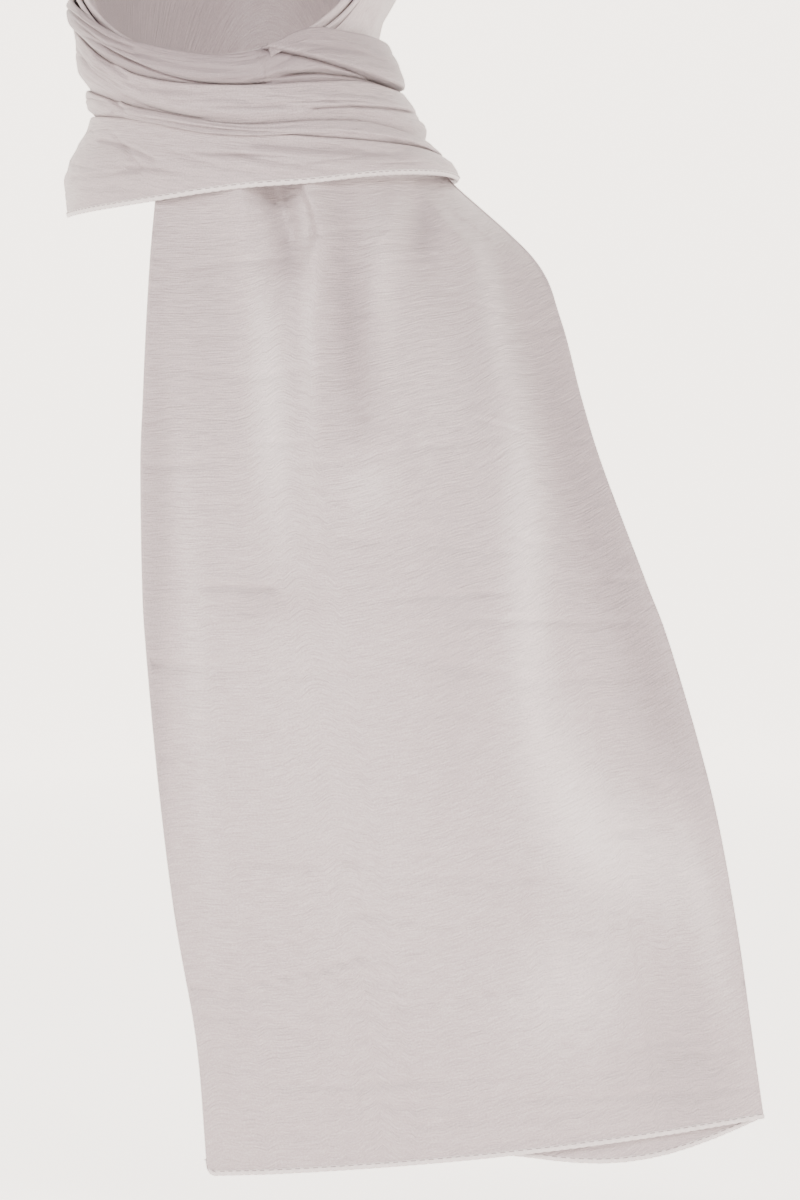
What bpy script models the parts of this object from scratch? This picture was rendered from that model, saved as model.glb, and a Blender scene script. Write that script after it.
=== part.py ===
"""A crinkled satin shawl, wound over a head and round a neck, with one end hanging in front.

Metres, +Z up, the wearer faces -Y. The origin is the inner crown of the cloth, where the head
holds it up. Tables are in millimetres and degrees. Angles round the neck start at the front
(0) and grow towards +X (90), the back (180) and -X (270, the same as -90).
"""
import math

import bpy
import numpy as np

MM = 0.001
WALL = 1.2 * MM              # every piece is one wall of cloth this thick
LAYER_GAP = 2.8 * MM         # between the middles of two layers over the head
HEAD_TURN = math.radians(8)  # the face is turned this far towards -X
SET_BACK = (0.05, 0.10)      # where the outer layer's edge starts, on the -X and +X sides
COVER_FOLDS = 7              # soft folds round the outer layer
FOLD_HEIGHT = 3.0 * MM
FOLDS_END = 0.78             # the share of the way to the neck where those folds have gone

NECK_AXIS = np.array([9.0, 2.0]) * MM
SWELL = 1.6 * MM             # how far a stretch puffs out between its edges
TUCK = 4.2 * MM              # how far its hidden edge lies inside the next stretch
STEP_IN = 2.7 * MM           # how far it already lies inside where the next one starts
LAP = 5.0 * MM               # how far it goes on behind the next one, at most
LAP_SHARE = 0.4              # and as a share of that one's height
TURNS_IN = 0.55              # the share of its height where it starts to turn in
RING_SEGMENTS = 44

LAYER_STEP = 3.0 * MM        # between the layers of the folded hanging end
GATHERED = 0.6               # the share of that step left where the layers are gathered
HEM_SAG = 4.0 * MM           # the bottom hem dips this far in the middle
BACK_DROP = 9.5 * MM         # the turned-back layer hangs this far below it
BACK_DROP_FROM = 0.55        # on this share of the width, up to the right fold
TOP_ARC = (-27.0, 90.0)      # the angles round the neck that the top of the hanging end covers
FLAT_FROM = 0.35             # the share of its length below which its rows lie flat
TURNED_REACH = (0.95, 0.04)  # where the free edges of its left and right turned layers lie
DROP_POWER = 6               # how late on the way down the layers part
FOLDS_FROM = -284 * MM       # the folds of the hanging end start here
FOLDS_GROW = 24 * MM         # and reach their full height this far below

# The colour of each piece, as linear red, green and blue, and the satin's roughness.
SATIN_COLOURS = {
    "inner_cover": (0.56, 0.51, 0.51),
    "outer_cover": (0.55, 0.50, 0.50),
    "chin_wrap": (0.50, 0.45, 0.43),
    "upper_wrap": (0.54, 0.49, 0.49),
    "middle_wrap": (0.56, 0.51, 0.52),
    "lower_wrap": (0.58, 0.53, 0.54),
    "hanging_end": (0.58, 0.53, 0.54),
}
SATIN_ROUGHNESS = 0.42

# The layers over the head are rings from the face opening, over the head, to the neck. Each
# ring goes through a front point, a far point (forehead, crown or back) and two side points.
COVER_COLUMNS = "front_y front_z far_y far_z side_x side_y side_z middle_x"
COVER_RINGS = (
    (-90, -232, -86, -46, 73, -38, -157, 0),
    (-90.5, -236, -62, -17, 77, -26, -150, 0.5),
    (-88.5, -241, -22, -1, 79.5, -12, -141, 1.5),
    (-83, -247, 28, -2, 80, 0, -141, 2.5),
    (-78, -254, 72, -26, 79, 10, -148, 3.5),
    (-73, -262, 98, -80, 76.5, 16, -167, 4),
    (-69, -270, 97, -148, 69, 14, -195, 3.5),
    (-66, -278, 84, -212, 56.5, 8, -225, 3),
    (-63, -286, 76, -284, 52, 5, -284, 3),
)
JAW_NARROWING = 0.2          # how much the layers over the head draw in above the jaw

# How far the outermost cloth stands from the neck axis, at each height and angle.
FORM_ANGLES = (-90, -45, 0, 45, 90, 135, 180, 225)
FORM_LEVELS = (
    (-190, 84, 96, 98, 88, 76, 86, 97, 95),
    (-205, 83, 97.6, 98.5, 85, 68, 83, 95, 93),
    (-215, 81, 98, 99.5, 82, 60, 80, 93, 90),
    (-225, 76, 97.4, 100, 80, 57.5, 76, 91, 87),
    (-235, 74, 96.4, 100.4, 81, 61.5, 75, 90, 84),
    (-245, 73.5, 93.2, 100.4, 82, 67.5, 76, 89.5, 83),
    (-255, 72, 90, 100.4, 85, 71.5, 79, 90, 83),
    (-262, 74, 90, 101.3, 88, 77, 82, 91, 84),
    (-270, 79, 90.5, 102, 91.5, 80.5, 85, 92.5, 87),
    (-277, 82.5, 92.5, 103.5, 95, 89, 89, 94, 90),
    (-285, 85, 94.5, 105, 98, 92.7, 93, 96, 93),
    (-302, 85, 95, 106, 99, 93, 96, 99, 95),
)

# The height of the top edge of each stretch round the neck, and of the lower one's hem.
EDGE_COLUMNS = "angle chin upper middle lower hem"
EDGES = (
    (-90, -200, -213.6, -244.5, -258, -301.5),
    (-60, -208, -222.3, -246.9, -257.9, -301.3),
    (-30, -225.9, -241.5, -255.9, -260.8, -297.5),
    (0, -230.2, -245.5, -263.1, -266.7, -291),
    (15, -219.6, -244, -261.3, -268.5, -288.9),
    (30, -220.8, -242.8, -260.8, -269.6, -285.8),
    (60, -225.3, -246, -266.2, -271.8, -283.8),
    (90, -226, -246.9, -269.4, -275.2, -285.6),
    (135, -224, -240, -262, -272, -287),
    (180, -206, -228, -250, -265, -288),
    (225, -199, -218, -245, -259, -292),
)

# The hanging end: its two side edges, and its depth at five places from left to right.
PANEL_COLUMNS = "left_x left_z right_x right_z y0 y1 y2 y3 y4"
PANEL_ROWS = (
    (-35, -286, 98.5, -281.5, -84.5, -99.7, -83, -45, -1),
    (-35.6, -297.3, 101, -287, -86, -101.5, -85, -46.5, -2),
    (-37, -318.9, 137, -322, -95, -108, -97, -68, -34),
    (-38.3, -350.4, 148.5, -350.4, -107, -118, -112, -92, -63),
    (-39.6, -386.4, 157.5, -386.4, -118, -129, -128, -115, -89),
    (-40.5, -415.6, 167, -418, -127, -137, -139, -129, -105),
    (-39.6, -467.4, 185.4, -467.4, -137, -146, -149, -142, -119),
    (-37.8, -498.9, 197, -498.9, -140, -149, -152, -146, -122),
    (-32, -561.9, 215, -562.8, -140, -149, -152, -146, -123),
    (-24.8, -620.4, 226, -620.4, -138, -147, -150, -145, -123),
    (-15.3, -677.1, 233.6, -674.4, -136, -145, -148, -143, -122),
    (-10.8, -733.8, 238.5, -708.6, -135, -144, -147, -142, -121),
)

# Folds that run down the hanging end: ridges stand out and hollows lie in. Each goes from its
# top point to its bottom point; its height fades to nothing at the bottom.
FOLD_COLUMNS = "top_x top_z bottom_x bottom_z half_width height"
PANEL_FOLDS = (
    (14, -285, 24, -335, 9, -11),
    (36, -285, 42, -430, 7, 5),
    (-2, -290, 20, -420, 9, 4),
    (72, -282, 62, -400, 8, 5),
    (85, -300, 90, -330, 7, -5),
    (80, -280, 130, -560, 11, 6),
    (112, -300, 150, -470, 10, -3),
)


def table(columns, rows, unit=MM):
    """A dict of the named columns, each an array in metres."""
    values = np.array(rows, float).T * unit
    return dict(zip(columns.split(), values))


def flowing(at, knots, values):
    """A smooth curve through (knots, values), read at each number in the array at."""
    knots, values = np.asarray(knots, float), np.asarray(values, float)
    slopes = np.gradient(values, knots)
    row = np.clip(np.searchsorted(knots, at, side="right") - 1, 0, len(knots) - 2)
    span = knots[row + 1] - knots[row]
    t = np.clip((at - knots[row]) / span, 0, 1)
    rise = t * t * (3 - 2 * t)
    lean = span * t * (1 - t)
    return (values[row] * (1 - rise) + values[row + 1] * rise
            + lean * ((1 - t) * slopes[row] - t * slopes[row + 1]))


def round_the_neck(angle, angles, values):
    """flowing() on a closed ring of angles, in degrees."""
    once = np.asarray(angles, float)
    knots = np.concatenate([once - 360, once, once + 360])
    return flowing((angle + 90) % 360 - 90, knots, np.tile(values, 3))


def eased(t):
    """0 to 1 with a soft start and end."""
    t = np.clip(t, 0, 1)
    return t * t * (3 - 2 * t)


def satin(name):
    """Crinkled satin: a soft sheen, no metal."""
    colour = SATIN_COLOURS[name]
    material = bpy.data.materials.new(name)
    material.use_nodes = True
    shader = material.node_tree.nodes["Principled BSDF"]
    shader.inputs["Base Color"].default_value = (*colour, 1)
    shader.inputs["Roughness"].default_value = SATIN_ROUGHNESS
    shader.inputs["Metallic"].default_value = 0.0
    material.diffuse_color = (*colour, 1)
    return material


def cloth(name, points, ring):
    """One wall of cloth through a grid of points (rows, columns, xyz); ring joins the ends."""
    rows, columns = points.shape[:2]
    index = np.arange(rows * columns).reshape(rows, columns)
    if ring:
        index = np.concatenate([index, index[:, :1]], axis=1)
    corners = (index[:-1, :-1], index[1:, :-1], index[1:, 1:], index[:-1, 1:])
    faces = np.stack(corners, axis=-1).reshape(-1, 4)
    mesh = bpy.data.meshes.new(name)
    mesh.from_pydata(points.reshape(-1, 3).tolist(), [], faces.tolist())
    mesh.shade_smooth()
    mesh.materials.append(satin(name))
    piece = bpy.data.objects.new(name, mesh)
    bpy.context.scene.collection.objects.link(piece)
    wall = piece.modifiers.new("Wall", "SOLIDIFY")
    wall.thickness = WALL
    wall.offset = 0
    return piece


def outward(points):
    """The direction straight out of the cloth at each point of a closed ring grid."""
    down = np.gradient(points, axis=0)
    wide = np.concatenate([points[:, -1:], points, points[:, :1]], axis=1)
    across = (wide[:, 2:] - wide[:, :-2]) / 2
    normal = np.cross(down, across)
    return normal / np.linalg.norm(normal, axis=2, keepdims=True)


def cover_surface(depth, turn):
    """Points over the head: depth 0 is the face opening, 1 the neck; turn starts at the chin."""
    rings = table(COVER_COLUMNS, COVER_RINGS)
    knots = np.linspace(0, 1, len(COVER_RINGS))
    at = {name: flowing(depth, knots, values) for name, values in rings.items()}
    near = (1 + np.cos(turn)) / 2
    aside = np.sin(turn) ** 2
    narrow = JAW_NARROWING * eased(4 * depth) * np.cos(turn) * aside
    x = at["side_x"] * np.sin(turn) * (1 - narrow)
    y = at["front_y"] * near + at["far_y"] * (1 - near)
    z = at["front_z"] * near + at["far_z"] * (1 - near)
    y = y + aside * (at["side_y"] - (at["front_y"] + at["far_y"]) / 2)
    z = z + aside * (at["side_z"] - (at["front_z"] + at["far_z"]) / 2)
    turned_x = x * math.cos(HEAD_TURN) + y * math.sin(HEAD_TURN)
    turned_y = y * math.cos(HEAD_TURN) - x * math.sin(HEAD_TURN)
    return np.stack([turned_x + at["middle_x"], turned_y, z], axis=-1)


def make_inner_cover():
    """The layer next to the head, whose edge frames the face."""
    depth, turn = np.meshgrid(np.linspace(0, 1, 16), np.arange(40) * math.tau / 40, indexing="ij")
    cloth("inner_cover", cover_surface(depth, turn), True)


def make_outer_cover():
    """The second layer over the head. Its edge is set back, further on the +X side."""
    share, turn = np.meshgrid(np.linspace(0, 1, 16), np.arange(40) * math.tau / 40, indexing="ij")
    set_back = SET_BACK[0] + (SET_BACK[1] - SET_BACK[0]) * (1 + np.sin(turn)) / 2
    points = cover_surface(set_back + (1 - set_back) * share, turn)
    fading = eased(share / (FOLDS_END / 2)) * eased((FOLDS_END - share) / (FOLDS_END / 3))
    lift = LAYER_GAP + FOLD_HEIGHT * (1 + np.cos(COVER_FOLDS * turn)) / 2 * fading
    cloth("outer_cover", points + outward(points) * lift[..., None], True)


def form_radius(angle, z):
    """How far the outermost cloth is from the neck axis."""
    levels = np.array(FORM_LEVELS, float)
    heights = levels[::-1, 0] * MM
    at_levels = [round_the_neck(angle, FORM_ANGLES, level[1:] * MM) for level in levels[::-1]]
    stack = np.stack(at_levels, axis=-1)
    row = np.clip(np.searchsorted(heights, z) - 1, 0, len(heights) - 2)
    share = np.clip((z - heights[row]) / (heights[row + 1] - heights[row]), 0, 1)
    low = np.take_along_axis(stack, row[..., None], axis=-1)[..., 0]
    high = np.take_along_axis(stack, row[..., None] + 1, axis=-1)[..., 0]
    return low + (high - low) * share


def edge_height(name, angle):
    """The height of a named edge at each angle round the neck."""
    edges = table(EDGE_COLUMNS, EDGES)
    return round_the_neck(angle, edges["angle"] / MM, edges[name])


def at_neck(angle, radius, z):
    """Points at an angle and distance from the neck axis."""
    turn = np.radians(angle)
    x = NECK_AXIS[0] + radius * np.sin(turn)
    y = NECK_AXIS[1] - radius * np.cos(turn)
    return np.stack([x, y, z], axis=-1)


def make_stretch(name, edges, rows):
    """A stretch wound round the neck, its lower part tucked behind the next stretch.

    edges names its own top edge, the next stretch's top edge and the one after that.
    """
    angles = np.arange(RING_SEGMENTS) * 360 / RING_SEGMENTS - 90
    shown = np.linspace(0, 1, rows)
    share, angle = np.meshgrid(np.append(shown, [1.5, 2.0]), angles, indexing="ij")
    top, bottom, after = (edge_height(edge, angle) for edge in edges)
    lap = np.minimum(LAP, LAP_SHARE * (bottom - after))
    z = top + (bottom - top) * np.minimum(share, 1) - lap * np.clip(share - 1, 0, 1)
    puff = SWELL * np.sin(np.pi * np.minimum(share, 1)) * (bottom < top)
    inside = STEP_IN * eased((share - TURNS_IN) / (1 - TURNS_IN)) + (TUCK - STEP_IN) * eased(share - 1)
    radius = form_radius(angle, z) + puff - inside
    cloth(name, at_neck(angle, radius, z), True)


def make_lower_wrap():
    """The lowest stretch round the neck, which ends in the shawl's own hem."""
    angles = np.arange(RING_SEGMENTS) * 360 / RING_SEGMENTS - 90
    share, angle = np.meshgrid(np.linspace(0, 1, 8), angles, indexing="ij")
    top, bottom = edge_height("lower", angle), edge_height("hem", angle)
    z = top + (bottom - top) * share
    radius = form_radius(angle, z) + SWELL * np.sin(np.pi * share)
    cloth("lower_wrap", at_neck(angle, radius, z), True)


def panel_relief(x, z):
    """How far the folds of the hanging end stand out, at each place seen from the front."""
    relief = np.zeros_like(x)
    folds = table(FOLD_COLUMNS, PANEL_FOLDS)
    for top_x, top_z, bottom_x, bottom_z, half_width, height in zip(*folds.values()):
        down = np.clip((top_z - z) / (top_z - bottom_z), 0, 1)
        middle = top_x + (bottom_x - top_x) * down
        relief += height * (1 - eased(down)) * np.exp(-(((x - middle) / half_width) ** 2))
    return relief * eased((FOLDS_FROM - z) / FOLDS_GROW)


def panel_layer(across, down, layer, beyond):
    """The hanging end: across goes from left to right and down to the hem, each 0 to 1.

    layer counts the steps behind the front one, and beyond reaches past a folded side.
    """
    rows = table(PANEL_COLUMNS, PANEL_ROWS)
    knots = np.linspace(0, 1, len(PANEL_ROWS))
    at = {name: flowing(down, knots, values) for name, values in rows.items()}
    start, end = np.sin(np.radians(TOP_ARC))
    arc = np.sin(np.radians(TOP_ARC[0] + (TOP_ARC[1] - TOP_ARC[0]) * across))
    flat = eased(down / FLAT_FROM)
    share = across * flat + (arc - start) / (end - start) * (1 - flat)
    left, right = at["left_x"] + LAYER_STEP, at["right_x"] - LAYER_STEP / 2
    x = left + (right - left) * share
    z = at["left_z"] + (at["right_z"] - at["left_z"]) * share
    drop = BACK_DROP * np.sin(np.pi * (across - BACK_DROP_FROM) / (1 - BACK_DROP_FROM))
    drop = np.where(across > BACK_DROP_FROM, drop, (across - BACK_DROP_FROM) * BACK_DROP)
    z = z - HEM_SAG * 4 * across * (1 - across) * down - drop * np.minimum(layer, 1) * down ** DROP_POWER
    slot = np.clip((across * 4).astype(int), 0, 3)
    depths = np.stack([at[name] for name in ("y0", "y1", "y2", "y3", "y4")], axis=-1)
    slopes = np.gradient(depths, axis=-1)
    pick = [np.take_along_axis(values, slot[..., None] + step, axis=-1)[..., 0]
            for values in (depths, slopes) for step in (0, 1)]
    t = across * 4 - slot
    y = pick[0] + (pick[1] - pick[0]) * eased(t)
    y = y + t * (1 - t) * ((1 - t) * pick[2] - t * pick[3])
    spread = GATHERED + (1 - GATHERED) * flat
    y = y - panel_relief(x, z) + layer * LAYER_STEP * spread
    return np.stack([x + beyond * spread, y, z], axis=-1)


def make_hanging_end():
    """The end in front: a front layer, folded back at both sides like a letter."""
    turn = np.linspace(0, np.pi, 5)[1:-1]
    left_turned = [(across, 2, 0) for across in np.linspace(TURNED_REACH[0], 0, 8)]
    left_fold = [(0, 1 + math.cos(a), -LAYER_STEP * math.sin(a)) for a in turn]
    front = [(across, 0, 0) for across in np.linspace(0, 1, 17)]
    right_fold = [(1, (1 - math.cos(a)) / 2, LAYER_STEP / 2 * math.sin(a)) for a in turn]
    right_turned = [(across, 1, 0) for across in np.linspace(1, TURNED_REACH[1], 8)]
    path = np.array(left_turned + left_fold + front + right_fold + right_turned)
    down = np.linspace(0, 1, 22)[:, None] * np.ones(len(path))
    across, layer, beyond = (column * np.ones_like(down) for column in path.T)
    cloth("hanging_end", panel_layer(across, down, layer, beyond), False)


def clear_scene():
    for item in list(bpy.data.objects):
        bpy.data.objects.remove(item)


def main():
    clear_scene()
    make_inner_cover()
    make_outer_cover()
    make_stretch("chin_wrap", ("chin", "upper", "middle"), 6)
    make_stretch("upper_wrap", ("upper", "middle", "lower"), 5)
    make_stretch("middle_wrap", ("middle", "lower", "hem"), 4)
    make_lower_wrap()
    make_hanging_end()


main()
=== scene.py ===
"""A crinkled satin shawl, wound over a head and round a neck, with one end hanging in front.

Metres, +Z up, the wearer faces -Y. The origin is the inner crown of the cloth. Tables are in
millimetres and degrees. Every piece is a surface of two parameters on a dense grid, on the same
form as its solid, with its creases added and a thin wall of cloth put on it.
"""
import math

import bpy
import numpy as np
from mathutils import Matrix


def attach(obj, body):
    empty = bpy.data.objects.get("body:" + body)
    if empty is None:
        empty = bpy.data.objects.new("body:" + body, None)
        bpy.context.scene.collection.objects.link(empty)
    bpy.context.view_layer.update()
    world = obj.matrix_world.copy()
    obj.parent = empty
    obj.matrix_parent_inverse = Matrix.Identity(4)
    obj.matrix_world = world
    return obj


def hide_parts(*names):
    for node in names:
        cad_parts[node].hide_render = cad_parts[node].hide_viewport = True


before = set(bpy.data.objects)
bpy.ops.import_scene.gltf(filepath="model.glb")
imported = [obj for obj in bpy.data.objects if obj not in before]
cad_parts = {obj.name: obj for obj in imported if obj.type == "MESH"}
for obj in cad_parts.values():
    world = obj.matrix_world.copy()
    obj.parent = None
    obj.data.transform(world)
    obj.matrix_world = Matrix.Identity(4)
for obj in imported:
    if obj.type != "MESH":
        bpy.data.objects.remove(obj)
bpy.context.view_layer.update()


# The layer next to the head: the shawl's first turn, laid over the crown and drawn in under the
# chin. Crinkled polyester satin, a silver lilac-grey, folded under where it frames the face.
MM = 0.001
CLOTH = 0.45 * MM            # crinkled satin is thinner; two such layers show as one edge
FOLD_RADIUS = 0.8 * MM       # where cloth is folded over at an edge
FOLD_FLAP = (2.5 * MM, 5.0 * MM)
ARC_ROWS = 6                 # rows of the grid on that half circle
HEAD_TURN = math.radians(8)
JAW_NARROWING = 0.2
COVER_COLUMNS = "front_y front_z far_y far_z side_x side_y side_z middle_x"
COVER_RINGS = (
    (-90, -232, -86, -46, 73, -38, -157, 0),
    (-90.5, -236, -62, -17, 77, -26, -150, 0.5),
    (-88.5, -241, -22, -1, 79.5, -12, -141, 1.5),
    (-83, -247, 28, -2, 80, 0, -141, 2.5),
    (-78, -254, 72, -26, 79, 10, -148, 3.5),
    (-73, -262, 98, -80, 76.5, 16, -167, 4),
    (-69, -270, 97, -148, 69, 14, -195, 3.5),
    (-66, -278, 84, -212, 56.5, 8, -225, 3),
    (-63, -286, 76, -284, 52, 5, -284, 3),
)
COVER_GRID = (96, 220)
HEAD_RADIUS = 90 * MM        # what turns and depths on the head are measured by
COVER_LENGTH = 300 * MM
INNER_CRINKLES = dict(seed=11, count=90, length=60 * MM, width=2.2 * MM, height=0.8 * MM)
SATIN_LIGHT, SATIN_MIDDLE, SATIN_SHADE = "#c4babc", "#9e9194", "#75696d"
FILAMENT_LENGTH, FILAMENT_WIDTH = 9 * MM, 0.75 * MM    # the crinkle's fine strokes
SOFT_LENGTH, SOFT_WIDTH = 30 * MM, 4.5 * MM            # the wider crinkle between them
GRAIN = 0.8 * MM             # the weave's sparkle, drawn coarser than its 0.1 mm threads


def table(columns, rows, unit=MM):
    """A dict of the named columns, each an array in metres."""
    return dict(zip(columns.split(), np.array(rows, float).T * unit))


def flowing(at, knots, values):
    """A smooth curve through (knots, values): cubic between knots, sloped as its neighbours are."""
    knots, values = np.asarray(knots, float), np.asarray(values, float)
    slopes = np.gradient(values, knots)
    row = np.clip(np.searchsorted(knots, at, side="right") - 1, 0, len(knots) - 2)
    span = knots[row + 1] - knots[row]
    t = np.clip((at - knots[row]) / span, 0, 1)
    rise = t * t * (3 - 2 * t)
    lean = span * t * (1 - t)
    return (values[row] * (1 - rise) + values[row + 1] * rise
            + lean * ((1 - t) * slopes[row] - t * slopes[row + 1]))


def eased(t):
    """0 to 1 with a soft start and end: t squared times (3 - 2t)."""
    t = np.clip(t, 0, 1)
    return t * t * (3 - 2 * t)


def outward(points):
    """The direction straight out of each point of a closed ring grid: down crossed with across."""
    wide = np.concatenate([points[:, -1:], points, points[:, :1]], axis=1)
    normal = np.cross(np.gradient(points, axis=0), wide[:, 2:] - wide[:, :-2])
    return normal / np.linalg.norm(normal, axis=2, keepdims=True)


def cover_surface(depth, turn):
    """Points over the head: depth 0 is the face opening, 1 the neck; turn starts at the chin.

    Each ring goes through a front, a far and two side points: the front and far ones are mixed
    by the cosine of the turn, and the sides are drawn out by the square of its sine.
    """
    rings = table(COVER_COLUMNS, COVER_RINGS)
    knots = np.linspace(0, 1, len(COVER_RINGS))
    at = {name: flowing(depth, knots, values) for name, values in rings.items()}
    near = (1 + np.cos(turn)) / 2
    aside = np.sin(turn) ** 2
    narrow = JAW_NARROWING * eased(4 * depth) * np.cos(turn) * aside
    x = at["side_x"] * np.sin(turn) * (1 - narrow)
    y = at["front_y"] * near + at["far_y"] * (1 - near)
    z = at["front_z"] * near + at["far_z"] * (1 - near)
    y = y + aside * (at["side_y"] - (at["front_y"] + at["far_y"]) / 2)
    z = z + aside * (at["side_z"] - (at["front_z"] + at["far_z"]) / 2)
    turned_x = x * math.cos(HEAD_TURN) + y * math.sin(HEAD_TURN)
    turned_y = y * math.cos(HEAD_TURN) - x * math.sin(HEAD_TURN)
    return np.stack([turned_x + at["middle_x"], turned_y, z], axis=-1)


def crinkles(u, v, seed, count, length, width, height, lean=0.0):
    """Short shallow creases along u at seeded places: each a sharp valley that fades at its ends.

    u and v are in metres. Lengths, widths and heights vary from a third of the value to all of
    it, and each crease leans a little more or less than lean, in v for each u.
    """
    chance = np.random.default_rng(seed)
    relief = np.zeros(u.shape, np.float32)
    low, high = (u.min(), v.min()), (u.max(), v.max())
    for _ in range(count):
        middle_u, middle_v = chance.uniform(low, high)
        share = chance.uniform(0.33, 1, 3)
        slope = lean + chance.normal(0, 0.09)
        near = np.abs(v - middle_v) < length * 0.3 + 5 * width
        along = (u[near] - middle_u) / (length * share[0] / 2)
        off = (v[near] - middle_v - slope * (u[near] - middle_u)) / (width * share[1])
        relief[near] -= height * share[2] * np.exp(-np.abs(off) ** 1.4 - along ** 4)
    return relief


def rolled_edge(points, normal):
    """The grid with its first row carried over a half circle inwards, then on as a short flap."""
    edge, out = points[0], normal[0]
    down = points[2] - points[0]
    down = down / np.linalg.norm(down, axis=-1, keepdims=True)
    turns = np.linspace(math.pi, 0, ARC_ROWS + 1)[:-1, None, None]
    arc = edge - down * FOLD_RADIUS * np.sin(turns) + out * FOLD_RADIUS * (np.cos(turns) - 1)
    flap = np.array(FOLD_FLAP[::-1])[:, None, None]
    inside = edge - out * 2 * FOLD_RADIUS + down * flap
    return np.concatenate([inside, arc, points])


def carried_over(values):
    """A value for each point of the grid, the first row's repeated on the folded edge's rows."""
    return np.concatenate([np.repeat(values[:1], ARC_ROWS + len(FOLD_FLAP), axis=0), values])


def cloth_mesh(name, points, painted_light, ring):
    """The grid as one sheet, its rows and columns measured in metres on its own UV map.

    painted_light is -1 for the deepest painted shade and 1 for the brightest painted highlight.
    """
    rows, columns = points.shape[:2]
    index = np.arange(rows * columns).reshape(rows, columns)
    middle = np.roll(points[rows // 2], -1, axis=0) - points[rows // 2]
    across = np.concatenate([[0], np.cumsum(np.linalg.norm(middle, axis=1))])
    steps = np.linalg.norm(np.diff(points, axis=0), axis=2)
    down = np.concatenate([np.zeros((1, columns)), np.cumsum(steps, axis=0)])
    if ring:
        index = np.concatenate([index, index[:, :1]], axis=1)
        down = np.concatenate([down, down[:, :1]], axis=1)
    else:
        across = across[:-1]
    measured = np.stack([np.broadcast_to(across, down.shape), down], axis=-1)
    corners = [(slice(None, -1), slice(None, -1)), (slice(1, None), slice(None, -1)),
               (slice(1, None), slice(1, None)), (slice(None, -1), slice(1, None))]
    faces = np.stack([index[corner] for corner in corners], axis=-1).reshape(-1, 4)
    mesh = bpy.data.meshes.new(name)
    mesh.from_pydata(points.reshape(-1, 3), [], faces)
    uv = np.stack([measured[corner] for corner in corners], axis=2).reshape(-1, 2)
    mesh.uv_layers.new(name="cloth").uv.foreach_set("vector", uv.astype(np.float32).ravel())
    light_paint = mesh.attributes.new("painted_light", "FLOAT", "POINT")
    light_paint.data.foreach_set("value", painted_light.astype(np.float32).ravel())
    mesh.shade_smooth()
    return mesh


def linear(hex_colour):
    """An sRGB hex colour as linear red, green and blue, with full alpha."""
    value = np.array([int(hex_colour[i:i + 2], 16) for i in (1, 3, 5)]) / 255
    return (*np.where(value <= 0.04045, value / 12.92, ((value + 0.055) / 1.055) ** 2.4), 1)


def add_node(material, kind, inputs, **settings):
    """One node with its settings, and its inputs as values or as sockets to link from."""
    node = material.node_tree.nodes.new(kind)
    for name, value in settings.items():
        setattr(node, name, value)
    for name, value in inputs.items():
        if isinstance(value, bpy.types.NodeSocket):
            material.node_tree.links.new(value, node.inputs[name])
        else:
            node.inputs[name].default_value = value
    return node


def strokes(material, measured, length, width, detail):
    """Noise stretched along the weft: one stroke in each length across and width down."""
    scaled = add_node(material, "ShaderNodeMapping",
                      {"Vector": measured, "Scale": (1 / length, 1 / width, 1)})
    return add_node(material, "ShaderNodeTexNoise",
                    {"Vector": scaled.outputs["Vector"], "Scale": 1.0, "Detail": detail,
                     "Roughness": 0.6}).outputs["Fac"]


def crinkled_satin(name):
    """Crinkled polyester satin, heat-set: a soft broken sheen over fine strokes along the weft.

    Its colour also carries the painted highlight and painted shade of the painted_light attribute.
    """
    material = bpy.data.materials.new(name)
    material.use_nodes = True
    shader = material.node_tree.nodes["Principled BSDF"]
    measured = add_node(material, "ShaderNodeUVMap", {}, uv_map="cloth").outputs["UV"]
    fine = strokes(material, measured, FILAMENT_LENGTH, FILAMENT_WIDTH, 4.0)
    soft = strokes(material, measured, SOFT_LENGTH, SOFT_WIDTH, 2.0)
    grain = strokes(material, measured, GRAIN, GRAIN, 2.0)
    # The painted_light attribute, painted highlight and painted shade, moves the colour along the
    # ramp from SATIN_SHADE to SATIN_LIGHT.
    painted_light = add_node(material, "ShaderNodeAttribute", {}, attribute_name="painted_light").outputs["Fac"]
    broken = add_node(material, "ShaderNodeMath", {0: fine, 1: 1.6, 2: painted_light},
                      operation="MULTIPLY_ADD").outputs[0]
    broken = add_node(material, "ShaderNodeMath", {0: grain, 1: 1.8, 2: broken},
                      operation="MULTIPLY_ADD").outputs[0]
    spread = add_node(material, "ShaderNodeMapRange",
                      {"Value": broken, "From Min": 0.45, "From Max": 2.95}).outputs["Result"]
    tone = add_node(material, "ShaderNodeValToRGB", {"Fac": spread})
    ramp = tone.color_ramp
    ramp.elements[0].color = linear(SATIN_SHADE)
    ramp.elements[1].color = linear(SATIN_LIGHT)
    ramp.elements.new(0.5).color = linear(SATIN_MIDDLE)
    material.node_tree.links.new(tone.outputs["Color"], shader.inputs["Base Color"])
    height = add_node(material, "ShaderNodeMath", {0: soft, 1: 1.6, 2: fine},
                      operation="MULTIPLY_ADD").outputs[0]
    bump = add_node(material, "ShaderNodeBump",
                    {"Height": height, "Strength": 0.8, "Distance": 0.8 * MM})
    material.node_tree.links.new(bump.outputs["Normal"], shader.inputs["Normal"])
    along = add_node(material, "ShaderNodeTangent", {}, direction_type="UV_MAP", uv_map="cloth")
    material.node_tree.links.new(along.outputs["Tangent"], shader.inputs["Tangent"])
    shader.inputs["Roughness"].default_value = 0.44
    shader.inputs["Specular IOR Level"].default_value = 0.5
    shader.inputs["IOR"].default_value = 1.5
    shader.inputs["Anisotropic"].default_value = 0.35
    shader.inputs["Sheen Weight"].default_value = 0.18
    shader.inputs["Sheen Roughness"].default_value = 0.45
    shader.inputs["Sheen Tint"].default_value = linear("#efe9ea")
    return material


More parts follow.
